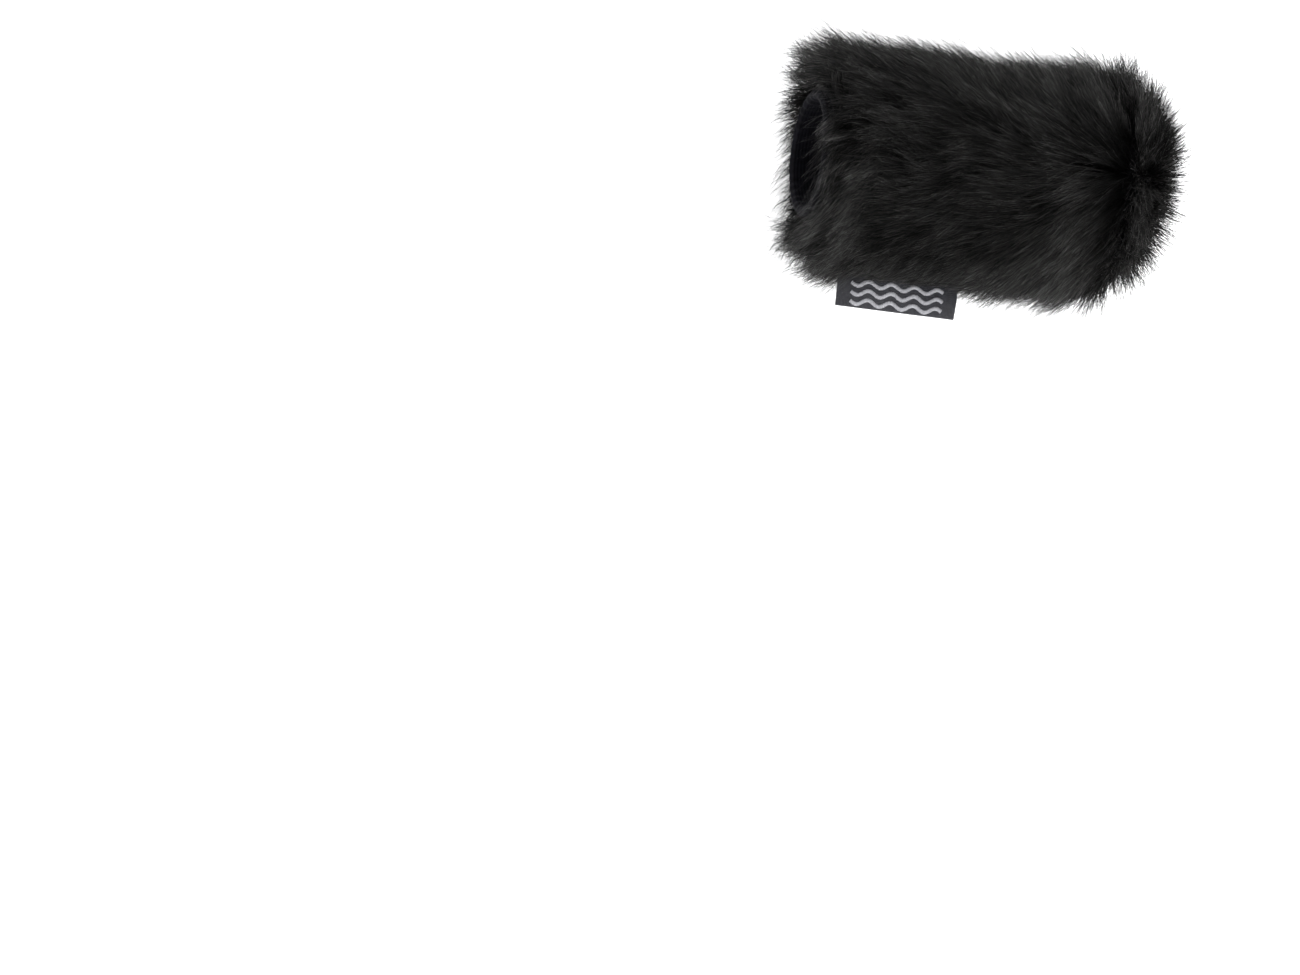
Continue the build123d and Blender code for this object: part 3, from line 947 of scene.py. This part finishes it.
motif = {
    "waves": 3,
    "spacing": 1.6 * mm,
    "halfWave": 2.2 * mm,
    "halves": 8,
    "rise": 0.45 * mm,
    "stroke": 0.74 * mm,
    "pitch": 0.17 * mm,
    "thread": 0.11 * mm,
    "height": 0.1 * mm,
    "centre": -24.5 * mm,
    "cloth": {"dark": (0.42, 0.42, 0.45), "light": (0.58, 0.58, 0.61), "grain": 2500, "gloss": (0.4,)},
}


# three waves in satin stitch: each is a row of short threads laid side by side
def makeMotif(material):
    bpy.ops.mesh.primitive_uv_sphere_add(segments=8, ring_count=6, radius=1)
    stitch = bpy.context.active_object
    shape = np.array([v.co for v in stitch.data.vertices])
    shape[:, 1] = np.sign(shape[:, 1]) * np.abs(shape[:, 1]) ** 0.6
    faces = [tuple(f.vertices) for f in stitch.data.polygons]
    bpy.data.objects.remove(stitch)
    middle = (labelLow.x + labelHigh.x) / 2
    length = motif["halfWave"] * motif["halves"]
    top = label["gap"] / 2 + label["leaf"]
    copies = []
    rng = np.random.default_rng(11)
    for row in range(motif["waves"]):
        across = motif["centre"] + (row - (motif["waves"] - 1) / 2) * motif["spacing"]
        for k in range(int(length / motif["pitch"]) + 1):
            t = k * motif["pitch"]
            a = math.pi * t / motif["halfWave"]
            y = across - motif["rise"] * math.sin(a)
            slope = math.atan(-motif["rise"] * math.pi / motif["halfWave"] * math.cos(a))
            slope += rng.normal() * 0.05
            stroke = motif["stroke"] / 2 * (1 + rng.normal() * 0.04)
            local = shape * np.array([motif["thread"], stroke, motif["height"]])
            turnedX = local[:, 0] * math.cos(slope) - local[:, 1] * math.sin(slope)
            turnedY = local[:, 0] * math.sin(slope) + local[:, 1] * math.cos(slope)
            copies.append(np.stack([middle - length / 2 + t + turnedX, y + turnedY, top + local[:, 2]], 1))
    piece = buildCopies("labelWaves", copies, faces, material)
    reshape(piece, hang)
    return piece


thread = {
    "radius": 0.11 * mm,
    "ply": 0.085 * mm,
    "turns": 3.5,
    "sides": 6,
    "steps": 16,
    "float": 2.2 * mm,
    "cloth": {"dark": (0.006, 0.006, 0.007), "light": (0.022, 0.022, 0.024), "grain": 3000, "gloss": (0.5,)},
}


# one stitch along X, from hole to hole: two plies twisted round an arch, dipping at its ends
def stitchShape():
    points, faces = [], []
    sides, steps = thread["sides"], thread["steps"]
    for ply in (0, math.pi):
        base = len(points)
        for i in range(steps + 1):
            t = i / steps
            bend = math.pi * t
            x = -thread["float"] / 2 * math.cos(bend)
            lift = 0.22 * mm * min(1, 2.2 * math.sin(bend)) - 0.25 * mm * (1 - min(1, 3 * math.sin(bend)))
            twist = ply + thread["turns"] * 2 * math.pi * t
            y, z = thread["ply"] * math.cos(twist), lift + thread["ply"] * math.sin(twist)
            for j in range(sides):
                a = 2 * math.pi * j / sides
                points.append((x, y + thread["radius"] * math.cos(a), z + thread["radius"] * math.sin(a)))
        for i in range(steps):
            here, ahead = base + i * sides, base + (i + 1) * sides
            for j in range(sides):
                k = (j + 1) % sides
                faces.append((here + j, ahead + j, ahead + k, here + k))
        faces.append(tuple(base + j for j in range(sides)))
        faces.append(tuple(base + steps * sides + j for j in reversed(range(sides))))
    return np.array(points), faces


# stitches at places, each a point, the way it runs and the way that it faces
def makeSeam(name, places, material):
    shape, faces = stitchShape()
    copies = []
    for at, run, out in places:
        run, out = np.array(run, float), np.array(out, float)
        copies.append(np.array(at) + shape @ np.stack([run, np.cross(out, run), out]))
    return buildCopies(name, copies, faces, material)


# where a seam's stitches lie: the middles of the separate threads of a CAD node
def stitchCentres(node):
    mesh = frame["nodes"][node].data
    parent = list(range(len(mesh.vertices)))
    cell = {}
    for v in mesh.vertices:
        key = tuple(round(c / (0.001 * mm)) for c in v.co)
        parent[v.index] = cell.setdefault(key, v.index)

    def find(i):
        while parent[i] != i:
            parent[i] = parent[parent[i]]
            i = parent[i]
        return i

    for edge in mesh.edges:
        a, b = find(edge.vertices[0]), find(edge.vertices[1])
        parent[a] = b
    groups = {}
    for v in mesh.vertices:
        groups.setdefault(find(v.index), []).append(list(v.co))
    return [(np.min(g, 0) + np.max(g, 0)) / 2 for g in groups.values()]


def makeSeams(material):
    seams = []

    def sew(name, node, places):
        seams.append((makeSeam(name, places, material), node))

    for name, node in (("sideSeamThread", "side_seam_stitches"), ("labelThread", "label_stitches")):
        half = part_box(node)[1].z - 0.44 * mm
        pairs = [(at, side) for at in stitchCentres(node) for side in (-1, 1)]
        sew(name, node, [((at[0], at[1], side * half), (1, 0, 0), (0, 0, side)) for at, side in pairs])
    places = []
    for at in stitchCentres("nose_seam_stitches"):
        a = math.atan2(at[2], at[1])
        for side in (-1, 1):
            spot = (at[0] + side * knit, at[1], at[2])
            places.append((spot, (0, -math.sin(a), math.cos(a)), (side, 0, 0)))
    sew("noseSeamThread", "nose_seam_stitches", places)
    places = []
    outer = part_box("cuff_tape")[1].z + knit
    for at in stitchCentres("cuff_stitches"):
        a = math.atan2(at[2], at[1])
        y, z = math.cos(a), math.sin(a)
        places.append(((at[0], y * outer, z * outer), (0, -z, y), (0, y, z)))
    sew("cuffThread", "cuff_stitches", places)
    return seams


furPieces = makeFur()
tubeFur = [p for p in furPieces if p.name.startswith("tube")]
noseFur = [p for p in furPieces if p.name.startswith("nose")]
say("fur is in")

knitCloth = cloth("blackKnit", **backing["cloth"])
tubeBacking, noseBacking = makeTubeBacking(knitCloth), makeNoseBacking(knitCloth)
foamSleeve, foamPlug = makeFoam(foamMaterial())
sock = makeLining(cloth("liningJersey", **lining["cloth"]))
tape = makeCuffTape(cloth("foldedTape", **cuff["tape"]))
elastic = makeElastic(cloth("wovenElastic", **cuff["elastic"]))
ribbon = makeLabel(cloth("labelSatin", **label["cloth"]))
waves = makeMotif(cloth("whiteSatinStitch", **motif["cloth"]))
seams = makeSeams(cloth("twistedThread", **thread["cloth"]))
say("backing, foam, lining, cuff, label and seams are in")

places = [(piece, "tube_pile", "fur") for piece in tubeFur]
places += [(piece, "nose_pile", "fur") for piece in noseFur]
places += [
    (tubeBacking, "tube_backing", "knit"),
    (noseBacking, "nose_backing", "knit"),
    (foamSleeve, "foam_sleeve", "foam"),
    (foamPlug, "foam_nose_plug", "foam"),
    (sock, "lining_sock", "lining"),
    (tape, "cuff_tape", "tape"),
    (elastic, "cuff_elastic", "elastic"),
    (ribbon, "label", "label_ribbon"),
    (waves, "label_motif", "motif_thread"),
]
places += [(piece, node, "thread") for piece, node in seams]
for piece, node, slot in places:
    body = "label_flap" if piece in (ribbon, waves) else "windscreen"
    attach(piece, body)
    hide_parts(node)


picture = {
    "width": 244.8 * mm,  # what the picture takes in at the windscreen's distance
    "shape": 975 / 1300,
    "across": 0.12,  # the mouth's place, as shares of the picture from its centre
    "up": 0.3436,
    "distance": 0.9,
    "tilt": 14.0,
    "roll": 5.9,
    "sensor": 36.0,
    "centre": (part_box("cuff_tape")[0].x, 0.0, 0.0),
}


def makeCamera():
    tilt, roll = math.radians(picture["tilt"]), math.radians(picture["roll"])
    back = Vector((-math.sin(tilt), 0, math.cos(tilt)))
    level = Vector((math.cos(tilt), 0, math.sin(tilt)))
    right = level * math.cos(roll) + back.cross(level) * math.sin(roll)
    up = back.cross(right)
    height = picture["width"] * picture["shape"]
    place = Vector(picture["centre"]) + back * picture["distance"]
    place -= right * picture["across"] * picture["width"] + up * picture["up"] * height
    data = bpy.data.cameras.new("camera")
    data.sensor_width = picture["sensor"]
    data.lens = picture["sensor"] * picture["distance"] / picture["width"]
    data.clip_start = 0.01
    camera = bpy.data.objects.new("camera", data)
    bpy.context.scene.collection.objects.link(camera)
    turn = Matrix((right, up, back)).transposed()
    camera.matrix_world = Matrix.Translation(place) @ turn.to_4x4()
    bpy.context.scene.camera = camera


studio = {
    "floorSize": 6,
    "floorTone": (0.87, 0.87, 0.875, 1),
    "floorGlow": 0.9,  # a white table lit from below
    "skyStrength": 1.6,
    "sky": ((0, (1, 1, 1)), (0.9, (0.25, 0.25, 0.26))),  # from the horizon up
    "lights": (  # place, what it faces, size and power
        ("rearBox", (0.1, 0.6, 0.8), (0.03, 0, 0), 0.9, 3.0),
        ("frontBox", (0.0, -0.75, 0.45), (0.03, 0, 0), 0.8, 5.0),
        ("noseBox", (0.8, 0.1, 0.3), (0.06, 0, 0), 0.6, 6.0),
    ),
}


def makeStudio():
    bpy.ops.mesh.primitive_plane_add(size=studio["floorSize"], location=(0, 0, envelope["floor"]))
    floor = bpy.context.active_object
    floor.name = "floor"
    material, _, _, shader = newMaterial("paleFloor")
    shader.inputs["Base Color"].default_value = studio["floorTone"]
    finish(shader, 0.9)
    shader.inputs["Emission Color"].default_value = (1, 1, 1, 1)
    shader.inputs["Emission Strength"].default_value = studio["floorGlow"]
    floor.data.materials.append(material)
    world = bpy.data.worlds.new("studio")
    world.use_nodes = True
    nodes, links = world.node_tree.nodes, world.node_tree.links
    place = addNode(nodes, "ShaderNodeTexCoord")
    split = addNode(nodes, "ShaderNodeSeparateXYZ")
    links.new(place.outputs["Generated"], split.inputs[0])
    links.new(ramp(nodes, links, split.outputs["Z"], studio["sky"]), nodes["Background"].inputs[0])
    nodes["Background"].inputs[1].default_value = studio["skyStrength"]
    bpy.context.scene.world = world
    for name, place, aim, size, power in studio["lights"]:
        data = bpy.data.lights.new(name, "AREA")
        data.size = size
        data.energy = power
        light = bpy.data.objects.new(name, data)
        bpy.context.scene.collection.objects.link(light)
        light.location = place
        light.rotation_euler = (Vector(aim) - Vector(place)).to_track_quat("-Z", "Y").to_euler()
    bpy.context.scene.view_settings.view_transform = "Standard"


makeCamera()
makeStudio()
say("camera, light and floor are in")
